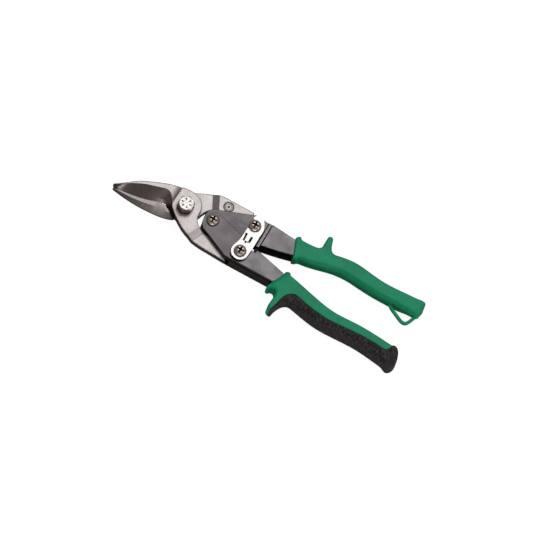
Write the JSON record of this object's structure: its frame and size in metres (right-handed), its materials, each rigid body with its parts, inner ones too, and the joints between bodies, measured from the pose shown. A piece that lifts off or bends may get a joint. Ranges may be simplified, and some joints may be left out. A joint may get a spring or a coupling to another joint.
{
  "type": "aviation snips",
  "caption": "Compound-action hand snips for sheet metal with stamped steel handles, moulded grips, finger guards, a latch plate and a hanging loop.",
  "frame": {"origin": "on the main pivot's axis, at the flat end of the pivot bolt, the lowest point of the snips as they lie", "axes": "+X from the main pivot to the handles, +Y towards the upper handle, +Z towards the pivot bolt's head"},
  "size_m": [0.2561, 0.0785, 0.0217],
  "materials": {
    "forged_steel": "satin, shot-blasted and tempered",
    "bright_zinc": "bright zinc plated",
    "dark_steel": "matte dark grey coating",
    "screw_plate": "bright nickel plated",
    "hard_bush": "turned",
    "latch_plate": "pale satin zinc plate",
    "spring_steel": "oiled spring wire",
    "green_moulding": "moulded, lightly satin",
    "black_soft": "soft matte elastomer"
  },
  "bodies": {
    "lower_handle": {"lower_handle": "dark_steel", "lower_grip": "green_moulding", "lower_grip_overmould": "black_soft", "handle_pivot_screw": "screw_plate", "handle_pivot_bush": "hard_bush", "handle_pivot_nut": "screw_plate", "lower_link_screw": "screw_plate", "lower_link_bush": "hard_bush", "lower_link_nut": "screw_plate", "lower_link_spacers": "hard_bush", "latch_washer": "spring_steel", "return_spring": "spring_steel"},
    "upper_handle": {"upper_handle": "dark_steel", "upper_grip": "green_moulding", "upper_link_screw": "screw_plate", "upper_link_bush": "hard_bush", "upper_link_nut": "screw_plate"},
    "front_jaw": {"front_jaw": "forged_steel", "pivot_bolt": "bright_zinc", "pivot_washer": "bright_zinc", "pivot_nut": "bright_zinc"},
    "rear_jaw": {"rear_jaw": "forged_steel", "stop_pin": "forged_steel"},
    "latch": {"latch": "latch_plate"}
  },
  "joints": [
    {"name": "handle_open", "type": "hinge", "parent": "lower_handle", "child": "upper_handle", "pos_m": [0.0236, 0.0008, 0.0097], "axis": [0, 0, 1], "range_deg": [0, 34], "deforming": ["return_spring"]},
    {"name": "lower_arm_turn", "type": "hinge", "parent": "lower_handle", "child": "front_jaw", "pos_m": [0.0537, -0.0113, 0.0097], "axis": [0, 0, 1], "range_deg": [0, 7.52]},
    {"name": "jaw_open", "type": "hinge", "parent": "front_jaw", "child": "rear_jaw", "pos_m": [0, 0, 0.0097], "axis": [0, 0, 1], "range_deg": [0, 18.24]},
    {"name": "latch_swing", "type": "hinge", "parent": "lower_handle", "child": "latch", "pos_m": [0.0537, -0.0113, 0.0097], "axis": [0, 0, 1], "range_deg": [-68.01, 0]}
  ],
  "couplings": [
    {"joint": "lower_arm_turn", "follows": "handle_open", "ratio": 0.2209},
    {"joint": "jaw_open", "follows": "handle_open", "ratio": 0.5361},
    {"joint": "latch_swing", "follows": "handle_open", "ratio": -2}
  ]
}
